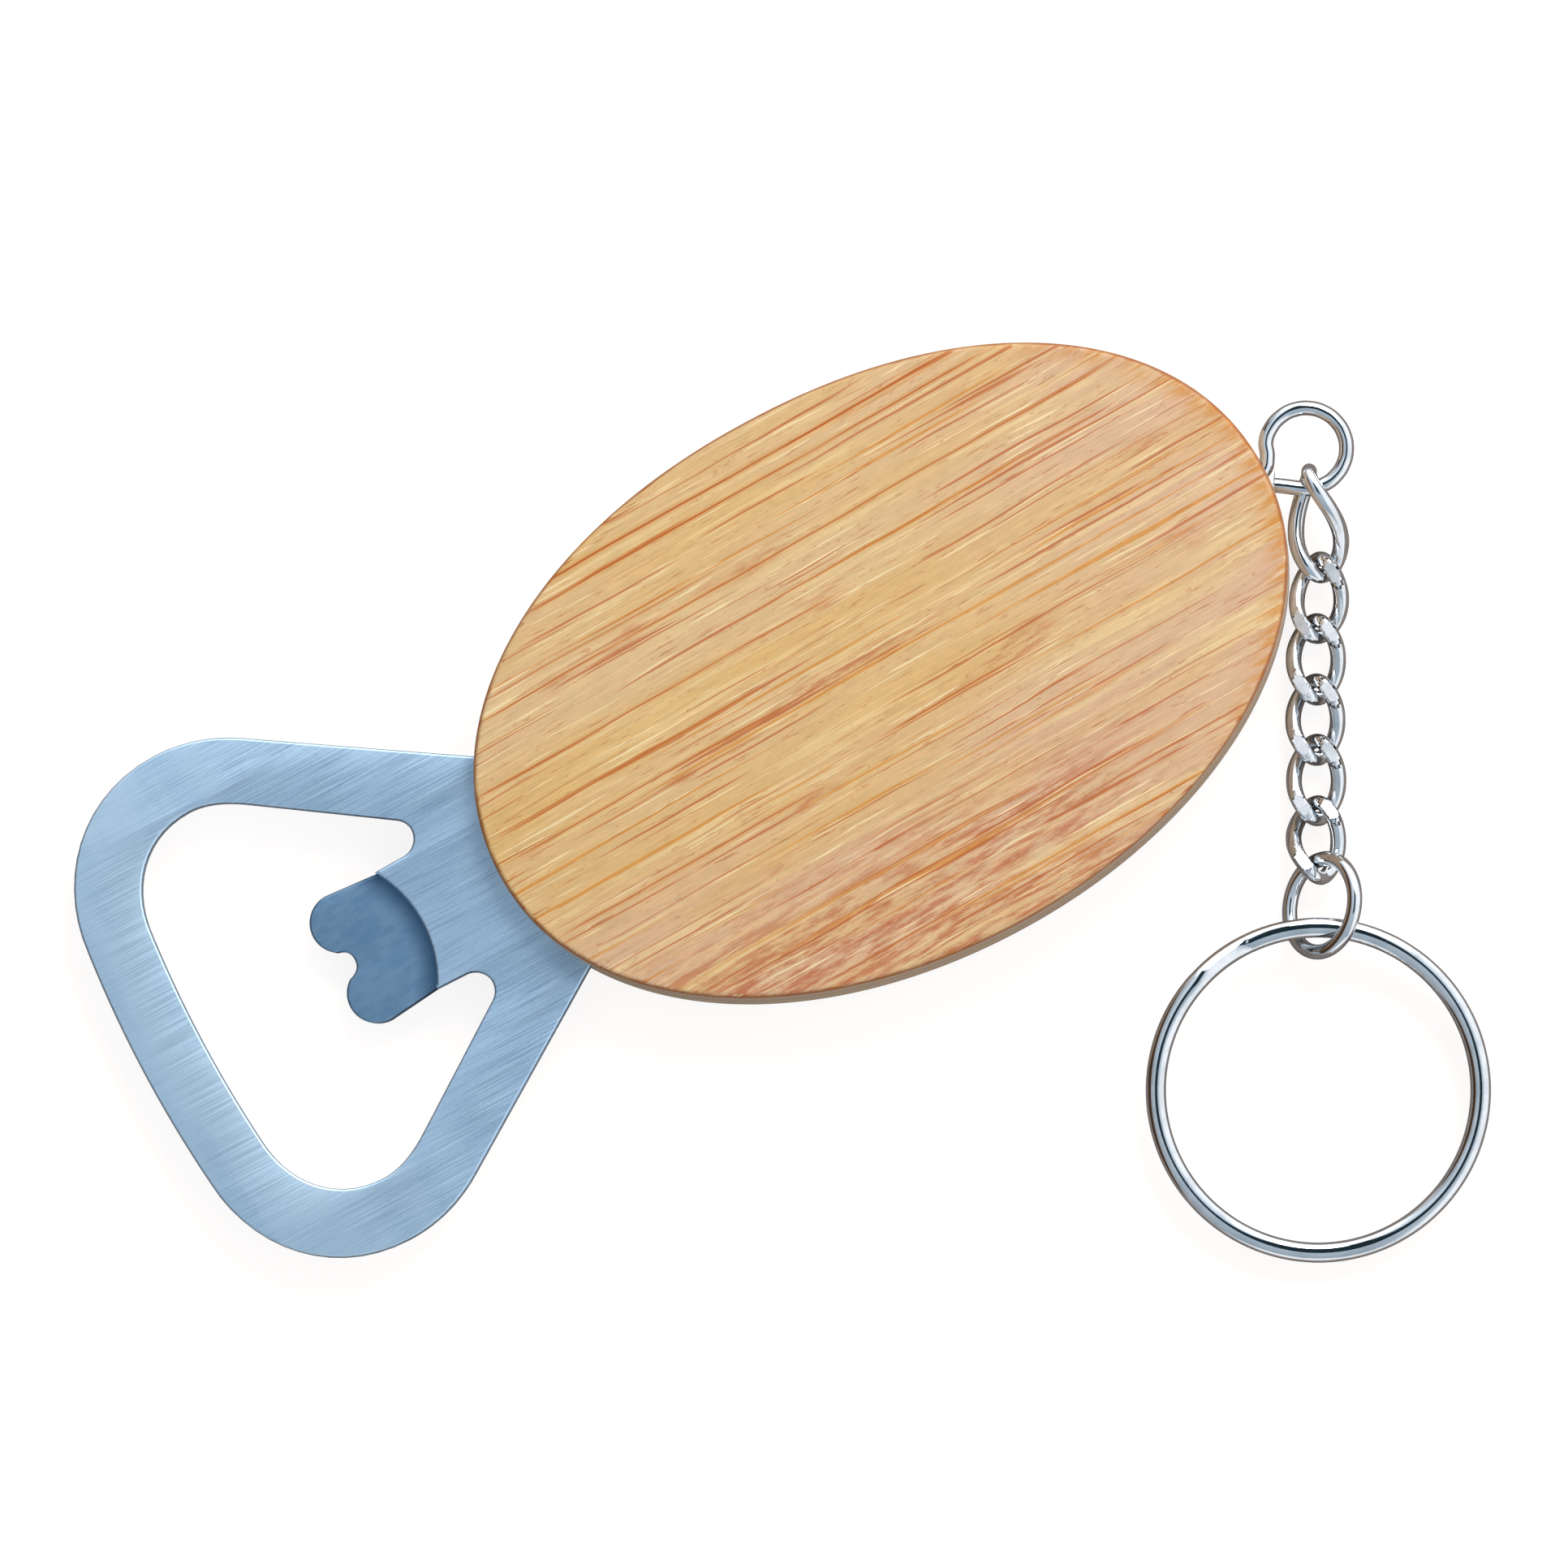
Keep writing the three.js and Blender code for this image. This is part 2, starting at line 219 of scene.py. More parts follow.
def strands(tree, place, long, wide, detail=3.0, shift=0.0, rough=0.5, tall=None):
    # noise drawn out along X: long and wide are the size of one strand
    mapping = tree.nodes.new("ShaderNodeMapping")
    plug(tree, mapping.inputs["Vector"], place)
    mapping.inputs["Location"].default_value = (shift, shift * 2.3, shift * 0.7)
    mapping.inputs["Scale"].default_value = (1 / long, 1 / wide, 1 / (tall or wide))
    noise = tree.nodes.new("ShaderNodeTexNoise")
    plug(tree, noise.inputs["Vector"], mapping.outputs[0])
    noise.inputs["Scale"].default_value = 1.0
    noise.inputs["Detail"].default_value = detail
    noise.inputs["Roughness"].default_value = rough
    return noise.outputs["Fac"]


def bump(tree, shader, height, distance, strength=1.0):
    node = tree.nodes.new("ShaderNodeBump")
    node.inputs["Strength"].default_value = strength
    node.inputs["Distance"].default_value = distance
    plug(tree, node.inputs["Height"], height)
    tree.links.new(node.outputs[0], shader.inputs["Normal"])


def rgb(red, green, blue):
    # a colour as it looks on screen, made linear
    def linear(part):
        part /= 255
        return part / 12.92 if part <= 0.04045 else ((part + 0.055) / 1.055) ** 2.4

    return (linear(red), linear(green), linear(blue), 1.0)


# covers: an oval a little fuller than an ellipse, more so on its +Y side
coverSet = {
    "upperFullness": 2.11,  # 2 is an ellipse
    "lowerFullness": 2.03,
    "rimRound": 0.45 * mm,
    "seamBreak": 0.05 * mm,
    "sides": 240,
    "rimSegments": 6,
    "slot": 1.5 * mm,
    "tangHalf": 6.3 * mm,
    "tangShoulderX": -24.6 * mm,
    "tangEndX": -5.7 * mm,
    "mouthX": -34 * mm,
    "mouthSlope": 0.646,
    "boreRadius": 0.85 * mm,
    "boreStartX": 20.6 * mm,
    "dowelPlay": 0.3 * mm,
}


# bamboo: pale gold with long orange fibre lines, cream streaks and a rosy lower side, its side walls
# painted a pale grey-beige as painted shade
bambooSet = {
    "gold": rgb(221, 178, 114),
    "tan": rgb(221, 182, 133),
    "cream": rgb(238, 206, 148),
    "milk": rgb(247, 221, 170),
    "rose": rgb(219, 176, 142),
    "russet": rgb(190, 104, 62),
    "amber": rgb(214, 140, 52),
    "orange": rgb(188, 88, 18),
    "dash": rgb(186, 106, 58),
    "rim": rgb(160, 88, 40),
    # painted shade: the side walls' pale grey-beige, a wall in shade lit only by the table's bounce
    "paintedWallShade": rgb(206, 182, 160),
    "grainTurn": -1.6,
    # from where to where each tint comes in
    "rosyBelow": (0, -12 * mm),
    "rosyRight": (2 * mm, 31 * mm),
    "stainBelow": (-7 * mm, -16 * mm),
    "stainLeft": (20 * mm, 4 * mm),
    "endRight": (14 * mm, 27 * mm),
    "endReach": (0.925, 0.985),
    # laid on in this order: strand length, width, detail, shift and roughness,
    # where it begins and where it is full, and how strong it is
    "layers": [
        ("cream", 0.022, 0.0009, 4, 3.1, 0.6, 0.50, 0.68, 0.6),
        ("amber", 0.045, 0.00050, 1, 1.3, 0.5, 0.63, 0.70, 0.8),
        ("orange", 0.026, 0.00028, 1, 7.9, 0.5, 0.64, 0.69, 0.75),
        ("milk", 0.009, 0.00022, 1, 6.4, 0.5, 0.65, 0.70, 0.8),
        ("dash", 0.0034, 0.00020, 2, 2.2, 0.5, 0.64, 0.72, 0.7),
    ],
    # Y, from X to X, half width, strength
    "lines": [
        (17.8, -20, 17, 0.13, 0.95),
        (16.5, -22, 19, 0.10, 0.9),
        (12.4, -28, -6, 0.08, 0.6),
        (11.25, -29, 27, 0.08, 0.85),
        (8.45, -6, 23, 0.08, 0.7),
        (6.55, -31, 1, 0.09, 0.8),
        (3.35, -31, -8, 0.10, 0.85),
        (3.2, 8, 28, 0.07, 0.7),
        (1.35, -31, -7, 0.09, 0.75),
        (0.4, -26, -9, 0.07, 0.7),
        (-4.1, -3, 11, 0.10, 0.8),
        (-5.2, -31, -7, 0.09, 0.75),
        (-12.6, -16, 6, 0.08, 0.7),
        (-14.1, -10, 17, 0.08, 0.6),
    ],
}


def ovalReach(tree, place):
    # 1 on the covers' outline, less inside
    look = coverSet
    x, y, _ = parts(tree, place)
    upper = math2(tree, "GREATER_THAN", y, 0.0)
    spread = look["upperFullness"] - look["lowerFullness"]
    power = math2(tree, "MULTIPLY_ADD", upper, spread, look["lowerFullness"])
    side = math2(tree, "MULTIPLY_ADD", upper, coverHigh.y + coverLow.y, -coverLow.y)
    shareX = math2(tree, "ABSOLUTE", math2(tree, "DIVIDE", x, coverHigh.x))
    shareY = math2(tree, "ABSOLUTE", math2(tree, "DIVIDE", y, side))
    along = math2(tree, "POWER", shareX, power)
    across = math2(tree, "POWER", shareY, power)
    total = math2(tree, "ADD", along, across)
    return math2(tree, "POWER", total, math2(tree, "DIVIDE", 1.0, power))


def bambooMaterial():
    material, tree, shader = newMaterial("bamboo")
    look = bambooSet
    place = objectPlace(tree, look["grainTurn"])
    plain = parts(tree, objectPlace(tree))
    wander = strands(tree, place, 0.012, 0.004, 2)
    offset = math2(tree, "MULTIPLY_ADD", wander, 0.0005, -0.00025)
    shove = tree.nodes.new("ShaderNodeCombineXYZ")
    plug(tree, shove.inputs[1], offset)
    shoved = tree.nodes.new("ShaderNodeVectorMath")
    plug(tree, shoved.inputs[0], place)
    plug(tree, shoved.inputs[1], shove.outputs[0])
    grain = shoved.outputs[0]
    x, y, _ = parts(tree, grain)

    broad = fade(tree, strands(tree, grain, 0.050, 0.0060, 4), 0.38, 0.62)
    colour = blend(tree, broad, look["gold"], look["tan"])
    low = fade(tree, plain[1], *look["rosyBelow"], 0, 0.8)
    right = fade(tree, plain[0], *look["rosyRight"], 0, 0.9)
    rosyArea = math2(tree, "MAXIMUM", low, right)
    rosyPatch = fade(tree, strands(tree, grain, 0.018, 0.0030, 3, 5.7), 0.36, 0.58, 0.3, 1)
    colour = blend(tree, math2(tree, "MULTIPLY", rosyArea, rosyPatch), colour, look["rose"])
    lower = fade(tree, plain[1], *look["stainBelow"])
    leftLow = fade(tree, plain[0], *look["stainLeft"])
    spots = fade(tree, strands(tree, grain, 0.0080, 0.0026, 1, 12.6), 0.62, 0.74, 0, 0.8)
    stained = math2(tree, "MAXIMUM", math2(tree, "MULTIPLY", lower, leftLow), spots)
    stain = fade(tree, strands(tree, grain, 0.0030, 0.00042, 5, 8.3, 0.7), 0.40, 0.62, 0, 0.85)
    colour = blend(tree, math2(tree, "MULTIPLY", stained, stain), colour, look["russet"])

    masks = {}
    for name, *strand, begins, full, strength in look["layers"]:
        masks[name] = fade(tree, strands(tree, grain, *strand), begins, full, 0, strength)
        colour = blend(tree, masks[name], colour, look[name])
    fibre = strands(tree, grain, 0.0050, 0.00014, 3, 4.9, 0.6)
    mottle = strands(tree, grain, 0.0014, 0.0006, 3, 3.3, 0.6)
    tone = math2(tree, "MULTIPLY_ADD", fibre, 0.42, 0.82)
    tone = math2(tree, "MULTIPLY", tone, math2(tree, "MULTIPLY_ADD", mottle, 0.24, 0.88))
    toned = tree.nodes.new("ShaderNodeHueSaturation")
    plug(tree, toned.inputs["Value"], tone)
    plug(tree, toned.inputs["Color"], colour)
    colour = toned.outputs[0]
    pores = fade(tree, strands(tree, grain, 0.0009, 0.00022, 2, 11.4, 0.6), 0.62, 0.74, 0, 0.45)
    colour = blend(tree, pores, colour, look["dash"])

    grooves, glow = 0.0, 0.0
    for lineY, fromX, toX, half, strength in look["lines"]:
        away = math2(tree, "ABSOLUTE", math2(tree, "SUBTRACT", y, lineY * mm))
        across = fade(tree, away, half * 0.2 * mm, half * 1.0 * mm, strength, 0)
        begins = fade(tree, x, (fromX - 1) * mm, (fromX + 4) * mm)
        ends = fade(tree, x, (toX - 4) * mm, (toX + 1) * mm, 1, 0)
        along = math2(tree, "MULTIPLY", begins, ends)
        band = math2(tree, "MULTIPLY", across, along)
        grooves = math2(tree, "MAXIMUM", grooves, band)
        soft = fade(tree, away, half * 0.6 * mm, half * 3.4 * mm, strength * 0.45, 0)
        glow = math2(tree, "MAXIMUM", glow, math2(tree, "MULTIPLY", soft, along))
    broken = fade(tree, strands(tree, grain, 0.006, 0.0007, 2, 9.1), 0.28, 0.48, 0.45, 1)
    grooves = math2(tree, "MULTIPLY", grooves, broken)
    colour = blend(tree, glow, colour, look["amber"])
    colour = blend(tree, grooves, colour, look["orange"])

    reach = ovalReach(tree, objectPlace(tree))
    # the rounded rim is darker orange-brown, the line's inner edge wobbling
    rimWobble = strands(tree, grain, 0.004, 0.0015, 3, 7.7)
    rimAt = math2(tree, "MULTIPLY_ADD", rimWobble, 0.012, reach)
    endArea = math2(tree, "MULTIPLY", fade(tree, reach, *look["endReach"]),
                    fade(tree, plain[0], *look["endRight"]))
    endStreak = fade(tree, strands(tree, grain, 0.0030, 0.00050, 3, 10.2, 0.6), 0.42, 0.60, 0.1, 0.75)
    colour = blend(tree, math2(tree, "MULTIPLY", endArea, endStreak), colour, look["amber"])
    rim = fade(tree, rimAt, 0.994, 1.004, 0, 0.85)
    colour = blend(tree, rim, colour, look["rim"])
    heightIn = math2(tree, "ABSOLUTE", math2(tree, "SUBTRACT", plain[2], midHeight))
    # painted shade: the side walls, outside the top face's rim, take a pale grey-beige
    onWall = fade(tree, heightIn, 3.05 * mm, 2.8 * mm)
    outside = fade(tree, reach, 0.985, 0.995)
    paintedWallShade = math2(tree, "MULTIPLY", onWall, outside)
    paintedWallShadeColour = blend(tree, fade(tree, fibre, 0.35, 0.65, 0, 0.5), look["paintedWallShade"], look["tan"])
    colour = blend(tree, paintedWallShade, colour, paintedWallShadeColour)
    glue = fade(tree, heightIn, 0.03 * mm, 0.07 * mm, 0.6, 0)
    colour = blend(tree, math2(tree, "MULTIPLY", glue, outside), colour, look["rim"])
    plug(tree, shader.inputs["Base Color"], colour)
    plug(tree, shader.inputs["Roughness"], fade(tree, fibre, 0.3, 0.7, 0.50, 0.64))
    shader.inputs["Specular IOR Level"].default_value = 0.35
    hollow = math2(tree, "MULTIPLY_ADD", grooves, -0.6, fibre)
    height = math2(tree, "MULTIPLY_ADD", masks["dash"], -0.3, hollow)
    bump(tree, shader, height, 0.03 * mm, 0.6)
    return material


# plain end-grain pins, hidden in the covers
def dowelMaterial():
    material, tree, shader = newMaterial("dowelWood")
    place = objectPlace(tree)
    grain = strands(tree, place, 0.0004, 0.0003, 3, 1.0, tall=0.004)
    colour = blend(tree, fade(tree, grain, 0.35, 0.65), rgb(205, 168, 112), rgb(176, 134, 84))
    plug(tree, shader.inputs["Base Color"], colour)
    plug(tree, shader.inputs["Roughness"], fade(tree, grain, 0.3, 0.7, 0.6, 0.75))
    bump(tree, shader, grain, 0.03 * mm, 0.6)
    return material


# steel brushed along X; the pressed tooth is painted bluer and darker, a painted dark reflection,
# with painted shade along its step
steelSet = {
    "face": rgb(196, 224, 248),
    "stroke": rgb(184, 212, 236),
    "dark": rgb(146, 179, 208),
    "bright": rgb(214, 238, 255),
    # tooth: painted dark reflection on the tilted tooth; step: painted shade along the step's arc
    "tooth": rgb(126, 164, 196),
    "step": rgb(74, 106, 138),
    "stepCentreX": -47.3 * mm,
    "stepRadius": 9.3 * mm,
    "toothSide": (5.4 * mm, 5.2 * mm),
    "toothEndX": (-46.2 * mm, -46.0 * mm),
    "litX": (-38 * mm, -57 * mm),
    "roughness": 0.42,
}


def steelMaterial():
    material, tree, shader = newMaterial("brushedSteel")
    look = steelSet
    place = objectPlace(tree)
    x, y, z = parts(tree, place)
    cloud = fade(tree, strands(tree, place, 0.010, 0.007, 3, 2.0), 0.30, 0.70)
    colour = blend(tree, cloud, look["face"], look["stroke"])
    strokes = strands(tree, place, 0.0060, 0.00008, 0, 1.0, 0.5, tall=0.02)
    colour = blend(tree, fade(tree, strokes, 0.45, 0.80, 0, 0.45), colour, look["bright"])
    darker = strands(tree, place, 0.0035, 0.00010, 0, 5.0, 0.5, tall=0.02)
    colour = blend(tree, fade(tree, darker, 0.50, 0.80, 0, 0.55), colour, look["dark"])
    speckle = strands(tree, place, 0.00030, 0.00014, 1, 6.0)
    colour = blend(tree, fade(tree, speckle, 0.50, 0.75, 0, 0.25), colour, look["dark"])
    bands = strands(tree, place, 0.0022, 0.0110, 1, 9.0, tall=0.01)
    lit = fade(tree, x, *look["litX"], 0.0, 0.75)
    lit = math2(tree, "MULTIPLY", lit, fade(tree, bands, 0.30, 0.60, 0.45, 1))
    colour = blend(tree, lit, colour, look["bright"])

    fromCentre = math2(tree, "SUBTRACT", x, look["stepCentreX"])
    arm = math2(tree, "SQRT", math2(tree, "ADD", math2(tree, "MULTIPLY", fromCentre, fromCentre),
                                    math2(tree, "MULTIPLY", y, y)))
    inside = fade(tree, arm, look["stepRadius"] + 0.06 * mm, look["stepRadius"] - 0.04 * mm)
    sunk = fade(tree, z, plateHigh.z - 0.25 * mm, plateHigh.z - 0.5 * mm)
    narrow = fade(tree, math2(tree, "ABSOLUTE", y), *look["toothSide"])
    reach = fade(tree, x, *look["toothEndX"])
    onTooth = math2(tree, "MULTIPLY", math2(tree, "MULTIPLY", inside, sunk),
                    math2(tree, "MULTIPLY", narrow, reach))
    # painted dark reflection on the tilted tooth, and painted shade growing towards its step's arc
    speck = strands(tree, place, 0.0016, 0.0007, 4, 3.0, 0.6)
    toothReflectionAndShade = blend(tree, fade(tree, speck, 0.35, 0.65, 0, 0.22), look["tooth"], look["stroke"])
    shade = fade(tree, arm, look["stepRadius"] - 1.9 * mm, look["stepRadius"] - 0.1 * mm, 0, 0.9)
    toothReflectionAndShade = blend(tree, shade, toothReflectionAndShade, look["step"])
    colour = blend(tree, onTooth, colour, toothReflectionAndShade)
    plug(tree, shader.inputs["Base Color"], colour)
    shader.inputs["Metallic"].default_value = 1.0
    rough = fade(tree, strokes, 0.3, 0.7, look["roughness"] - 0.03, look["roughness"] + 0.05)
    plug(tree, shader.inputs["Roughness"], rough)
    bump(tree, shader, strokes, 0.002 * mm, 0.2)
    return material


# bright nickel plating with faint marks, duller where links are cut flat
nickelSet = {
    "bright": rgb(230, 233, 236),
    "cloudy": rgb(196, 202, 207),
    "polished": 0.05,
    "cutBright": rgb(250, 251, 253),
    "cut": 0.5,
}


def nickelMaterial(name, bright, roughness):
    material, tree, shader = newMaterial(name)
    look = nickelSet
    place = objectPlace(tree)
    cloud = strands(tree, place, 0.0021, 0.0015, 3, 4.0)
    colour = blend(tree, fade(tree, cloud, 0.40, 0.68, 0, 0.5), bright, look["cloudy"])
    scuffs = strands(tree, place, 0.0009, 0.00018, 3, 2.0, 0.6)
    plug(tree, shader.inputs["Base Color"], colour)
    shader.inputs["Metallic"].default_value = 1.0
    rough = fade(tree, scuffs, 0.50, 0.75, roughness, roughness + 0.08)
    plug(tree, shader.inputs["Roughness"], rough)
    bump(tree, shader, scuffs, 0.0015 * mm, 0.4)
    return material


bamboo = bambooMaterial()
dowelWood = dowelMaterial()
brushedSteel = steelMaterial()
nickelPlate = nickelMaterial("nickelPlate", nickelSet["bright"], nickelSet["polished"])
cutNickel = nickelMaterial("cutNickel", nickelSet["cutBright"], nickelSet["cut"])
print("finishes are mixed")


def tangCutter():
    look = coverSet
    bpy.ops.mesh.primitive_cube_add(size=1)
    cutter = bpy.context.object
    bpy.ops.object.mode_set(mode="EDIT")
    length = look["tangEndX"] - look["tangShoulderX"]
    bpy.ops.transform.resize(value=(length, 2 * look["tangHalf"], look["slot"]))
    middle = (look["tangEndX"] + look["tangShoulderX"]) / 2
    bpy.ops.transform.translate(value=(middle, 0, midHeight))
    selectVerts(cutter, lambda co: co.x < middle)
    bpy.ops.mesh.extrude_region_move(
        TRANSFORM_OT_translate={"value": (look["mouthX"] - look["tangShoulderX"], 0, 0)}
    )
    widen = look["mouthSlope"] * (look["tangShoulderX"] - look["mouthX"]) / look["tangHalf"]
    bpy.ops.transform.resize(value=(1, 1 + widen, 1), center_override=(look["mouthX"], 0, midHeight))
    objectMode()
    closeUp(cutter)
    return cutter


def boreCutters():
    look = coverSet
    reach = coverHigh.x + 1 * mm - look["boreStartX"]
    deselectAll()
    bpy.ops.mesh.primitive_cylinder_add(
        vertices=32, radius=look["boreRadius"], depth=reach, rotation=(0, math.pi / 2, 0),
        location=(look["boreStartX"] + reach / 2, 0, midHeight),
    )
    cutters = [bpy.context.object]
    for node in ("dowel_1", "dowel_2"):
        low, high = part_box(node)
        deselectAll()
        bpy.ops.mesh.primitive_cylinder_add(
            vertices=32, radius=(high.x - low.x) / 2 + look["dowelPlay"],
            depth=high.z - low.z + 2 * look["dowelPlay"],
            location=((low.x + high.x) / 2, 0, (low.z + high.z) / 2),
        )
        cutters.append(bpy.context.object)
    return cutters


def makeCover(name, node, outerIsTop):
    look = coverSet
    low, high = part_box(node)
    deselectAll()
    bpy.ops.mesh.primitive_circle_add(
        vertices=look["sides"], radius=1, fill_type="NGON", location=(0, 0, 0)
    )
    piece = bpy.context.object
    for vert in piece.data.vertices:
        full = 2 / (look["upperFullness"] if vert.co.y > 0 else look["lowerFullness"])
        side = high.y if vert.co.y > 0 else -low.y
        vert.co.x = math.copysign(abs(vert.co.x) ** full, vert.co.x) * high.x
        vert.co.y = math.copysign(abs(vert.co.y) ** full, vert.co.y) * side
    editMode(piece)
    bpy.ops.mesh.select_all(action="SELECT")
    bpy.ops.transform.translate(value=(0, 0, low.z))
    bpy.ops.mesh.extrude_region_move(TRANSFORM_OT_translate={"value": (0, 0, high.z - low.z)})
    outerZ, innerZ = (high.z, low.z) if outerIsTop else (low.z, high.z)
    selectVerts(piece, lambda co: abs(co.z - outerZ) < 1e-6)
    bpy.ops.mesh.bevel(offset=look["rimRound"], segments=look["rimSegments"], profile=0.5)
    selectVerts(piece, lambda co: abs(co.z - innerZ) < 1e-6)
    bpy.ops.mesh.bevel(offset=look["seamBreak"], segments=2, profile=0.5)
    objectMode()
    closeUp(piece)
    for cutter in [tangCutter()] + boreCutters():
        applyPlace(cutter)
        cutWith(piece, cutter)
    finishPiece(piece, name, "opener", bamboo, [node])


makeCover("frontCover", "front_cover", True)
makeCover("rearCover", "rear_cover", False)
for dowelNode in ("dowel_1", "dowel_2"):
    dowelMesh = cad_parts[dowelNode].data
    dowelMesh.materials.clear()
    dowelMesh.materials.append(dowelWood)
print("covers are shaped")


# plate: one stamping, its tooth pressed below the face and tilted
plateSet = {
    "ease": 0.20 * mm,
    "easeSteps": 3,
    "thickness": 1.5,
    "toothSunk": 0.6,
    "toothTilt": 5.0,
    "stepCentre": (-47.3, 0),
    "stepRadius": 9.3,
    "toothHalfWidth": 4.8,
    "lobeCentre": (-43.4, 2.9),
    "lobeRadius": 2.2,
    "notchCentre": (-37.0, 6.3),
    "notchRadius": 1.45,
    "dowelHole": 1.8,
}


def arcPoints(centre, radius, start, end):
    # one handled point for each eighth of a turn or less
    steps = max(2, math.ceil(abs(end - start) / 45))
    step = math.radians(end - start) / steps
    pull = 4 / 3 * math.tan(step / 4) * radius
    points = []
    for index in range(steps + 1):
        angle = math.radians(start) + index * step
        x = centre[0] + radius * math.cos(angle)
        y = centre[1] + radius * math.sin(angle)
        away = (-math.sin(angle) * pull, math.cos(angle) * pull)
        points.append([(x, y), (x - away[0], y - away[1]), (x + away[0], y + away[1])])
    return points


def strokePoints(start, strokes):
    # outline as Bezier points: place, handle in, handle out
    points = [[start, start, start]]
    for kind, *places in strokes:
        last = points[-1]
        if kind == "arc":
            arc = arcPoints(*places)
            last[2] = last[0]
            if math.dist(arc[0][0], last[0]) > 1e-6:
                arc[0][1] = arc[0][0]
                points.append(arc[0])
            else:
                last[2] = arc[0][2]
            points.extend(arc[1:])
            points[-1][2] = points[-1][0]
            continue
        end = places[-1]
        if kind == "line":
            last[2], handleIn = last[0], end
        elif kind == "bend":
            control = places[0]
            last[2] = tuple(a + (c - a) * 2 / 3 for a, c in zip(last[0], control))
            handleIn = tuple(b + (c - b) * 2 / 3 for b, c in zip(end, control))
        else:
            last[2], handleIn = places[0], places[1]
        points.append([end, handleIn, end])
    return points


def bothSides(half):
    # the half outline begins and ends on the centre line
    other = [[(x, -y) for x, y in (place, handleOut, handleIn)]
             for place, handleIn, handleOut in reversed(half[1:-1])]
    first, last = half[0], half[-1]
    first[1] = (first[2][0], -first[2][1])
    last[2] = (last[1][0], -last[1][1])
    return half + other


def outlineMesh(outlines, thick, ease):
    deselectAll()
    bpy.ops.curve.primitive_bezier_circle_add(radius=1, location=(0, 0, 0))
    drawn = bpy.context.object
    curve = drawn.data
    curve.dimensions = "2D"
    curve.fill_mode = "BOTH"
    curve.splines.clear()
    for points in outlines:
        spline = curve.splines.new("BEZIER")
        spline.bezier_points.add(len(points) - 1)
        spline.use_cyclic_u = True
        spline.resolution_u = 14
        for knot, (place, handleIn, handleOut) in zip(spline.bezier_points, points):
            knot.handle_left_type = knot.handle_right_type = "FREE"
            knot.co = (place[0] * mm, place[1] * mm, 0)
            knot.handle_left = (handleIn[0] * mm, handleIn[1] * mm, 0)
            knot.handle_right = (handleOut[0] * mm, handleOut[1] * mm, 0)
    curve.extrude = thick / 2 - ease
    curve.bevel_depth = ease
    curve.bevel_resolution = plateSet["easeSteps"]
    curve.offset = -ease
    pick(drawn)
    bpy.ops.object.convert(target="MESH")
    closeUp(drawn, 1e-6)
    return drawn


def plateOutline():
    # X and Y in mm, from the head's end to the tang's
    half = [
        ("bend", (-61, 4.75), (-60.5, 9.5)),
        ("free", (-60.1, 15.2), (-55.8, 19.95), (-49.6, 19.95)),
        ("bend", (-46.2, 19.95), (-43.2, 18.02)),
        ("line", (-24.6, 6)),
        ("line", (-8, 6)),
        ("bend", (-6, 6), (-6, 4)),
        ("line", (-6, 0)),
    ]
    return bothSides(strokePoints((-61, 0), half))


def mouthOutline():
    look = plateSet
    stepAngle = math.degrees(math.asin(look["toothHalfWidth"] / look["stepRadius"]))
    half = [
        ("bend", (-56.15, 4.25), (-55.75, 8.5)),
        ("free", (-55.5, 12.2), (-53, 15.15), (-49.2, 15.15)),
        ("bend", (-47.4, 15.15), (-45.2, 13.65)),
        ("arc", look["notchCentre"], look["notchRadius"], 56, -90),
        ("arc", look["stepCentre"], look["stepRadius"], stepAngle, 0),
    ]
    return bothSides(strokePoints((-56.15, 0), half))


def toothOutline():
    look = plateSet
    rootRadius = look["stepRadius"] + 0.4
    rootAngle = math.degrees(math.asin((look["toothHalfWidth"] - 0.12) / rootRadius))
    lobeX, lobeY = look["lobeCentre"]
    turned = math.radians(235)
    inner = (lobeX + look["lobeRadius"] * math.cos(turned),
             lobeY + look["lobeRadius"] * math.sin(turned))
    half = [
        ("bend", (-43.68, 0.85), inner),
        ("arc", look["lobeCentre"], look["lobeRadius"], 235, 90),
        ("arc", look["stepCentre"], rootRadius, rootAngle, 0),
    ]
    return bothSides(strokePoints((-43.68, 0), half))


def makePlate():
    look = plateSet
    thick = look["thickness"] * mm
    holes = []
    for node in ("dowel_1", "dowel_2"):
        low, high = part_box(node)
        middle = ((low.x + high.x) / 2 / mm, 0)
        holes.append(arcPoints(middle, look["dowelHole"], 0, 360)[:-1])
    piece = outlineMesh([plateOutline(), mouthOutline()] + holes, thick, look["ease"])
    piece.location.z = midHeight
    applyPlace(piece)
    tooth = outlineMesh([toothOutline()], thick, look["ease"])
    hingeX = (look["stepCentre"][0] + look["stepRadius"]) * mm
    toothTop = plateHigh.z - look["toothSunk"] * mm
    tooth.matrix_world = (
        Matrix.Translation((hingeX, 0, toothTop))
        @ Euler((0, math.radians(-look["toothTilt"]), 0)).to_matrix().to_4x4()
        @ Matrix.Translation((-hingeX, 0, -thick / 2))
    )
    applyPlace(tooth)
    cutWith(piece, tooth, "UNION")
    finishPiece(piece, "openerPlate", "opener", brushedSteel, ["opener_plate"])


makePlate()
print("plate is stamped")


# screw eye: a cut thread in the wood and an open loop
eyeSet = {
    "wireRadius": 0.55 * mm,
    "centreX": 34.85 * mm,
    "radius": 2.95 * mm,
    "neck": [(26.0, 0), (30.2, 0), (31.4, 0.02), (32.1, 0.8)],
    "loopFrom": 142,
    "loopTo": -114,
    "loopSteps": 12,
    "tail": [(33.1, -2.36), (32.2, -1.72), (31.5, -1.25)],
    "shankEndX": 29.4 * mm,
    "tailEase": 0.12 * mm,
    "threadStartX": 21.6 * mm,
    "threadPitch": 0.95 * mm,
    "threadRadius": 0.85 * mm,
    "threadTurns": 8,
    "sides": 28,
}


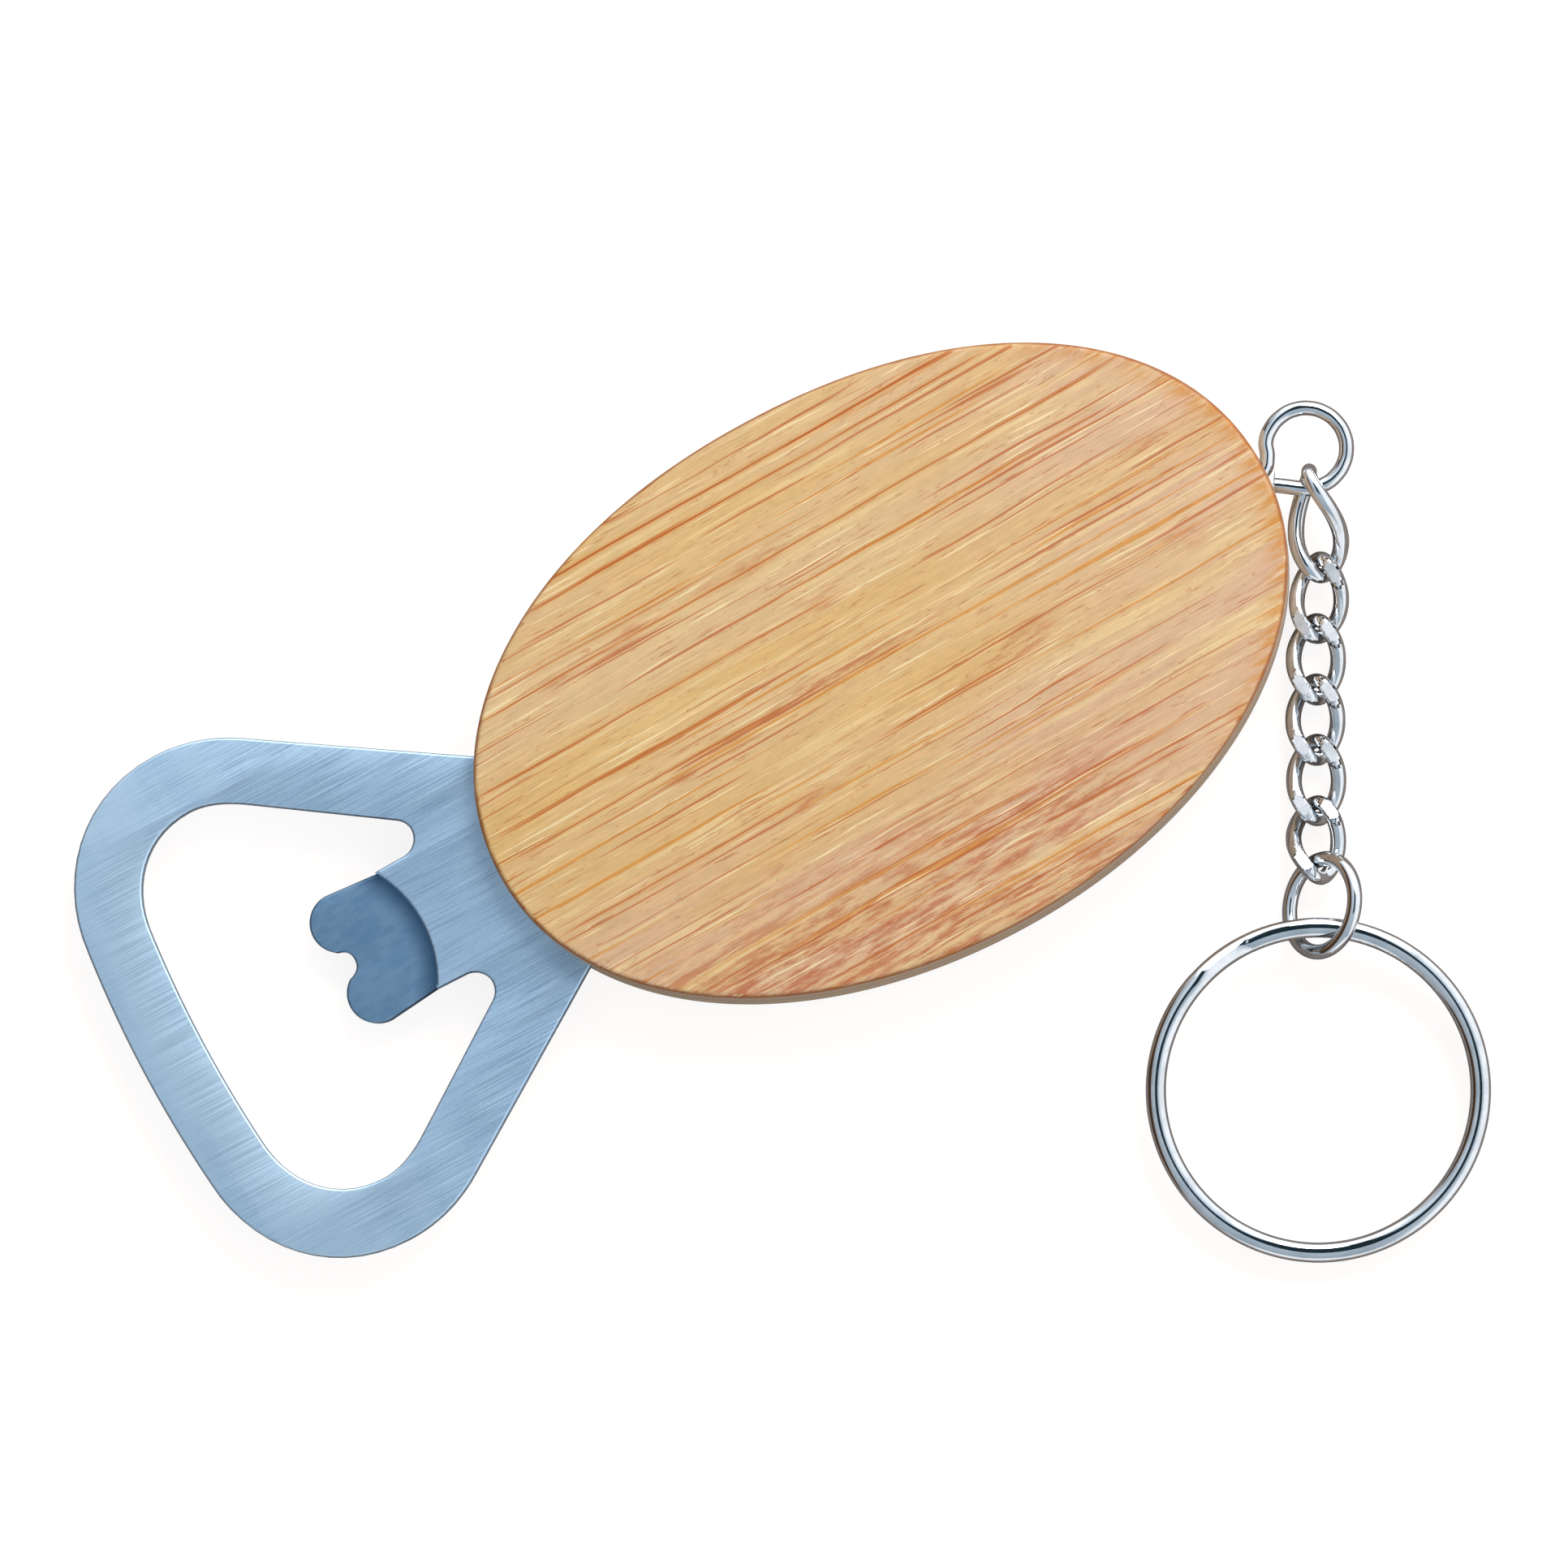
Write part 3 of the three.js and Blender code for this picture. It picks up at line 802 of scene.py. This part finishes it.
def wireMesh(name, places, radius, closed, resolution=4, roundness=7, swell=None):
    # a bevelled curve through these places, made a mesh
    deselectAll()
    if closed:
        bpy.ops.curve.primitive_bezier_circle_add(radius=1, location=(0, 0, 0))
    else:
        bpy.ops.curve.primitive_bezier_curve_add(radius=1, location=(0, 0, 0))
    drawn = bpy.context.object
    drawn.name = name
    curve = drawn.data
    curve.dimensions = "3D"
    curve.splines.clear()
    spline = curve.splines.new("BEZIER")
    spline.bezier_points.add(len(places) - 1)
    spline.use_cyclic_u = closed
    spline.resolution_u = resolution
    for knot, place in zip(spline.bezier_points, places):
        knot.co = place
        knot.handle_left_type = knot.handle_right_type = "AUTO"
    for knot, thicker in zip(spline.bezier_points, swell or []):
        knot.radius = thicker
    curve.bevel_depth = radius
    curve.bevel_resolution = roundness
    curve.use_fill_caps = not closed
    pick(drawn)
    bpy.ops.object.convert(target="MESH")
    closeUp(drawn)
    return drawn


def threadedShank():
    look = eyeSet
    core = look["wireRadius"]
    deselectAll()
    start = look["shankEndX"]
    bpy.ops.mesh.primitive_circle_add(
        vertices=look["sides"], radius=core, fill_type="NGON",
        rotation=(0, math.pi / 2, 0), location=(start, 0, midHeight),
    )
    shank = bpy.context.object
    applyPlace(shank)
    editMode(shank)
    bpy.ops.mesh.select_all(action="SELECT")
    at = start

    def stretchTo(x, grow):
        nonlocal at
        bpy.ops.mesh.extrude_region_move(TRANSFORM_OT_translate={"value": (x - at, 0, 0)})
        bpy.ops.transform.resize(value=(1, grow, grow), center_override=(x, 0, midHeight))
        at = x

    swell = look["threadRadius"] / core
    for turn in reversed(range(look["threadTurns"])):
        ridge = look["threadStartX"] + turn * look["threadPitch"]
        stretchTo(ridge + 0.64 * look["threadPitch"], 1)
        stretchTo(ridge + 0.44 * look["threadPitch"], swell)
        stretchTo(ridge + 0.36 * look["threadPitch"], 1)
        stretchTo(ridge + 0.2 * look["threadPitch"], 1 / swell)
    stretchTo(look["threadStartX"], 0.6)
    stretchTo(look["threadStartX"] - 0.6 * mm, 0.06)
    objectMode()
    closeUp(shank)
    return shank


def makeScrewEye():
    look = eyeSet
    places = [(x * mm, y * mm, midHeight) for x, y in look["neck"]]
    for step in range(look["loopSteps"] + 1):
        share = step / look["loopSteps"]
        angle = math.radians(look["loopFrom"] + (look["loopTo"] - look["loopFrom"]) * share)
        places.append((
            look["centreX"] + look["radius"] * math.cos(angle),
            look["radius"] * math.sin(angle),
            midHeight,
        ))
    places += [(x * mm, y * mm, midHeight) for x, y in look["tail"]]
    piece = wireMesh("eyeWire", places, look["wireRadius"], False, 10)
    tailEnd = Vector(places[-1])
    editMode(piece)
    selectVerts(piece, lambda co: (co - tailEnd).length < look["wireRadius"] * 1.02)
    bpy.ops.mesh.bevel(offset=look["tailEase"], segments=2)
    objectMode()
    cutWith(piece, threadedShank(), "UNION")
    finishPiece(piece, "screwEye", "opener", nickelPlate, ["screw_eye"], 45)


makeScrewEye()
print("screw eye is bent")


# links: an oval of wire whose two ends are turned about its length
linkSet = {
    "fullness": 2.3,
    "swell": 0.10,  # the limbs are thicker half way along
    "knots": 48,
    # sizes in mm; press is how far apart the two cut flats are
    "curb": {"halfLength": 2.85, "halfWidth": 1.62, "wire": 1.05, "twist": (50, -50), "press": 2.16},
    "connector": {"halfLength": 3.88, "halfWidth": 1.68, "wire": 1.1, "twist": (80, -51), "press": 0},
    # roll, pitch and yaw of each link in the chain's own lie
    "lie": {
        "connector_link": (15, 16, 8),
        "curb_link_1": (6.8, 7.6, -3.4),
        "curb_link_2": (0, 0, 0),
        "curb_link_3": (0, 0, 0),
        "curb_link_4": (0, 0, 0),
        "curb_link_5": (-3.7, -14.8, 2.8),
        "jump_ring": (44, -15.1, 8.1),
        "split_ring": (-2.6, 4.3, 0),
    },
    "chainTurn": -118.1,
}


def layOnNode(piece, node):
    # turned as it lies, then moved so that its box is centred on the node's
    roll, pitch, yaw = (math.radians(a) for a in linkSet["lie"][node])
    turned = Euler((roll, pitch, yaw), "XYZ").to_matrix().to_4x4()
    chain = Matrix.Rotation(math.radians(linkSet["chainTurn"]), 4, "Z")
    piece.matrix_world = chain @ turned
    applyPlace(piece)
    low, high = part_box(node)
    corners = [vert.co for vert in piece.data.vertices]
    ownLow = Vector([min(co[i] for co in corners) for i in range(3)])
    ownHigh = Vector([max(co[i] for co in corners) for i in range(3)])
    piece.location = (low + high) / 2 - (ownLow + ownHigh) / 2
    applyPlace(piece)


def linkMesh(kind):
    size = linkSet[kind]
    full = 2 / linkSet["fullness"]
    places, swell = [], []
    for index in range(linkSet["knots"]):
        angle = 2 * math.pi * index / linkSet["knots"]
        swell.append(1 + linkSet["swell"] * math.sin(angle) ** 2)
        along = math.copysign(abs(math.cos(angle)) ** full, math.cos(angle))
        across = math.copysign(abs(math.sin(angle)) ** full, math.sin(angle)) * size["halfWidth"]
        share = (along + 1) / 2
        turn = math.radians(size["twist"][0] + (size["twist"][1] - size["twist"][0]) * share)
        places.append((along * size["halfLength"] * mm, across * math.cos(turn) * mm,
                       across * math.sin(turn) * mm))
    link = wireMesh(kind, places, size["wire"] / 2 * mm, True, swell=swell)
    if size["press"]:
        editMode(link)
        for side in (1, -1):
            bpy.ops.mesh.select_all(action="SELECT")
            bpy.ops.mesh.bisect(
                plane_co=(0, 0, side * size["press"] / 2 * mm), plane_no=(0, 0, side),
                use_fill=True, clear_outer=True,
            )
        objectMode()
        closeUp(link)
    return link


def copyOf(piece):
    twin = piece.copy()
    twin.data = piece.data.copy()
    scene.collection.objects.link(twin)
    return twin


def makeLinks():
    connector = linkMesh("connector")
    layOnNode(connector, "connector_link")
    finishPiece(connector, "connectorLink", "connector", nickelPlate, ["connector_link"], 30)
    pattern = linkMesh("curb")
    cutHeight = (linkSet["curb"]["press"] / 2 - 0.01) * mm
    cutFaces = [face.index for face in pattern.data.polygons if abs(face.center.z) > cutHeight]
    for number in range(1, 6):
        link = copyOf(pattern)
        node = f"curb_link_{number}"
        layOnNode(link, node)
        finishPiece(link, f"curbLink{number}", f"curb_{number}", nickelPlate, [node], 30)
        link.data.materials.append(cutNickel)
        for index in cutFaces:
            link.data.polygons[index].material_index = int(number < 5)
    bpy.data.objects.remove(pattern)


makeLinks()
print("chain is linked")


# jump ring: round wire bent to a circle, its two ends nearly meeting
jumpSet = {
    "radius": 3.42 * mm,
    "wire": 0.55 * mm,
    "cutAt": 200,
    "cutWidth": 1.2,
    "steps": 120,
    "sides": 28,
}


def makeJumpRing():
    look = jumpSet
    start = math.radians(look["cutAt"])
    deselectAll()
    bpy.ops.mesh.primitive_circle_add(
        vertices=look["sides"], radius=look["wire"], rotation=(math.pi / 2, 0, start),
        location=(look["radius"] * math.cos(start), look["radius"] * math.sin(start), 0),
    )
    piece = bpy.context.object
    applyPlace(piece)
    editMode(piece)
    bpy.ops.mesh.select_all(action="SELECT")
    bpy.ops.mesh.spin(
        steps=look["steps"], angle=math.radians(360 - look["cutWidth"]),
        center=(0, 0, 0), axis=(0, 0, 1),
    )
    bpy.ops.mesh.select_all(action="SELECT")
    bpy.ops.mesh.remove_doubles(threshold=1e-8)
    bpy.ops.mesh.fill_holes(sides=0)
    bpy.ops.mesh.normals_make_consistent(inside=False)
    objectMode()
    layOnNode(piece, "jump_ring")
    finishPiece(piece, "jumpRing", "jump", nickelPlate, ["jump_ring"], 40)


makeJumpRing()
print("jump ring is closed")


# key ring: two turns of flattened wire, one above the other, crossing near their ends
keyRingSet = {
    "diameter": 25 * mm,
    "wide": 1.45 * mm,
    "high": 1.10 * mm,
    "sides": 32,
    "turnGap": 0.08 * mm,
    "endAngle": 115,
    "rampAngle": 23,
    "knots": 240,
}


def ringPlace(share):
    look = keyRingSet
    flat = 360 - look["rampAngle"]
    travelled = share * (2 * flat + look["rampAngle"])
    crossed = min(max((travelled - flat) / look["rampAngle"], 0), 1)
    crossed = crossed * crossed * (3 - 2 * crossed)
    angle = math.radians(look["endAngle"] - travelled + 90)
    radius = (look["diameter"] - look["wide"]) / 2
    rise = (look["high"] + look["turnGap"]) * (0.5 - crossed)
    return Vector((radius * math.cos(angle), radius * math.sin(angle), rise))


def makeKeyRing():
    look = keyRingSet
    deselectAll()
    bpy.ops.mesh.primitive_circle_add(vertices=look["sides"], radius=0.5)
    piece = bpy.context.object
    bpy.ops.object.mode_set(mode="EDIT")
    bpy.ops.transform.resize(value=(look["wide"], look["high"], 1))
    objectMode()
    loop = [tuple(vert.co) for vert in piece.data.vertices]
    bpy.data.objects.remove(piece)
    # the section is carried along the wire's line, upright all the way
    verts, faces = [], []
    count = len(loop)
    for knot in range(look["knots"] + 1):
        place = ringPlace(knot / look["knots"])
        outward = Vector((place.x, place.y, 0)).normalized()
        for across, up, _ in loop:
            verts.append(place + outward * across + Vector((0, 0, up)))
    for knot in range(look["knots"]):
        for side in range(count):
            a = knot * count + side
            b = knot * count + (side + 1) % count
            faces.append((a, b, b + count, a + count))
    faces.append(tuple(range(count)))
    faces.append(tuple(range(look["knots"] * count, (look["knots"] + 1) * count)))
    mesh = bpy.data.meshes.new("keyRing")
    mesh.from_pydata(verts, [], faces)
    piece = bpy.data.objects.new("keyRing", mesh)
    scene.collection.objects.link(piece)
    closeUp(piece)
    layOnNode(piece, "split_ring")
    finishPiece(piece, "keyRing", "key_ring", nickelPlate, ["split_ring"], 28)


makeKeyRing()
print("key ring is wound")


# pale table and a soft tent: dark towards the lens, white above, warm and dim on the left
studio = {
    "floorSize": 6.0,
    "floorGap": 0.01 * mm,
    "floorColour": (0.27, 0.22, 0.19),
    "floorLift": 0.86,
    "keyPower": 4.4,
    "keySize": 0.5,
    "keyPlace": (0.55, 0.45, 0.75),
    "skyStrength": 1.0,
    # height in the picture, from its foot (-1) to its top (1), and colour
    "sky": [
        (-1.00, (1.00, 1.02, 1.05)),
        (-0.88, (1.00, 1.02, 1.05)),
        (-0.80, (0.38, 0.45, 0.51)),
        (0.00, (0.50, 0.59, 0.68)),
        (0.58, (0.87, 0.98, 1.10)),
        (0.70, (1.55, 1.57, 1.60)),
        (1.00, (1.55, 1.57, 1.60)),
    ],
    "rightColour": (1.25, 1.27, 1.30),
    "lensColour": (0.015, 0.03, 0.04),
    "lensHalf": 0.19,
    "lensFoot": -0.05,
    "lensTop": 0.68,
    "lensSoft": 0.03,
    # across the picture, from where to where each side comes in
    "rightAt": (0.25, 0.60),
    "leftAt": (-0.40, -0.60),
    "brownAt": (-0.72, -0.80),
    "leftGrey": (0.40, 0.42, 0.44),
    "leftBrown": (0.075, 0.040, 0.022),
}


def colourRamp(tree, share, stops):
    ramp = tree.nodes.new("ShaderNodeValToRGB")
    plug(tree, ramp.inputs[0], share)
    while len(ramp.color_ramp.elements) < len(stops):
        ramp.color_ramp.elements.new(0.5)
    for element, (position, colour) in zip(ramp.color_ramp.elements, stops):
        element.position = position
        element.color = (*colour, 1)
    return ramp.outputs[0]


def dotWith(tree, vector, fixed):
    node = tree.nodes.new("ShaderNodeVectorMath")
    node.operation = "DOT_PRODUCT"
    plug(tree, node.inputs[0], vector)
    node.inputs[1].default_value = fixed
    return node.outputs["Value"]


def makeFloor():
    deselectAll()
    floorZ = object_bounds()[0].z - studio["floorGap"]
    bpy.ops.mesh.primitive_plane_add(size=studio["floorSize"], location=(0, 0, floorZ))
    floor = bpy.context.object
    floor.name = "floor"
    material, tree, shader = newMaterial("paleTable")
    shader.inputs["Base Color"].default_value = (*studio["floorColour"], 1)
    shader.inputs["Roughness"].default_value = 0.9
    shader.inputs["Emission Color"].default_value = (1, 1, 1, 1)
    # only the camera sees the table glow: it lights nothing
    seen = tree.nodes.new("ShaderNodeLightPath").outputs["Is Camera Ray"]
    plug(tree, shader.inputs["Emission Strength"], math2(tree, "MULTIPLY", seen, studio["floorLift"]))
    floor.data.materials.append(material)


def makeLights():
    deselectAll()
    bpy.ops.object.light_add(type="AREA", location=studio["keyPlace"])
    key = bpy.context.object
    key.name = "keyLight"
    key.data.energy = studio["keyPower"]
    key.data.size = studio["keySize"]
    towards = Vector((0, 0, 0)) - Vector(studio["keyPlace"])
    key.rotation_euler = towards.to_track_quat("-Z", "Y").to_euler()


def makeSky():
    world = bpy.data.worlds.new("studio")
    scene.world = world
    world.use_nodes = True
    tree = world.node_tree
    background = tree.nodes["Background"]
    direction = tree.nodes.new("ShaderNodeTexCoord").outputs["Generated"]
    turned = scene.camera.matrix_world.to_3x3()
    across = dotWith(tree, direction, turned.col[0])
    height = dotWith(tree, direction, turned.col[1])
    stops = [((place + 1) / 2, colour) for place, colour in studio["sky"]]
    colour = colourRamp(tree, math2(tree, "MULTIPLY_ADD", height, 0.5, 0.5), stops)
    right = fade(tree, across, *studio["rightAt"], 0, 0.8)
    colour = blend(tree, right, colour, (*studio["rightColour"], 1))
    left = fade(tree, across, *studio["leftAt"], 0, 0.8)
    colour = blend(tree, left, colour, (*studio["leftGrey"], 1))
    brown = fade(tree, across, *studio["brownAt"])
    colour = blend(tree, brown, colour, (*studio["leftBrown"], 1))
    soft = studio["lensSoft"]
    aside = math2(tree, "ABSOLUTE", across)
    narrow = fade(tree, aside, studio["lensHalf"] + soft, studio["lensHalf"] - soft)
    above = fade(tree, height, studio["lensFoot"] - soft, studio["lensFoot"] + soft)
    below = fade(tree, height, studio["lensTop"] + soft, studio["lensTop"] - soft)
    dark = math2(tree, "MULTIPLY", narrow, math2(tree, "MULTIPLY", above, below))
    colour = blend(tree, dark, colour, (*studio["lensColour"], 1))
    plug(tree, background.inputs["Color"], colour)
    background.inputs["Strength"].default_value = studio["skyStrength"]


makeFloor()
makeLights()
makeSky()
scene.view_settings.view_transform = "Standard"
print("studio is lit")
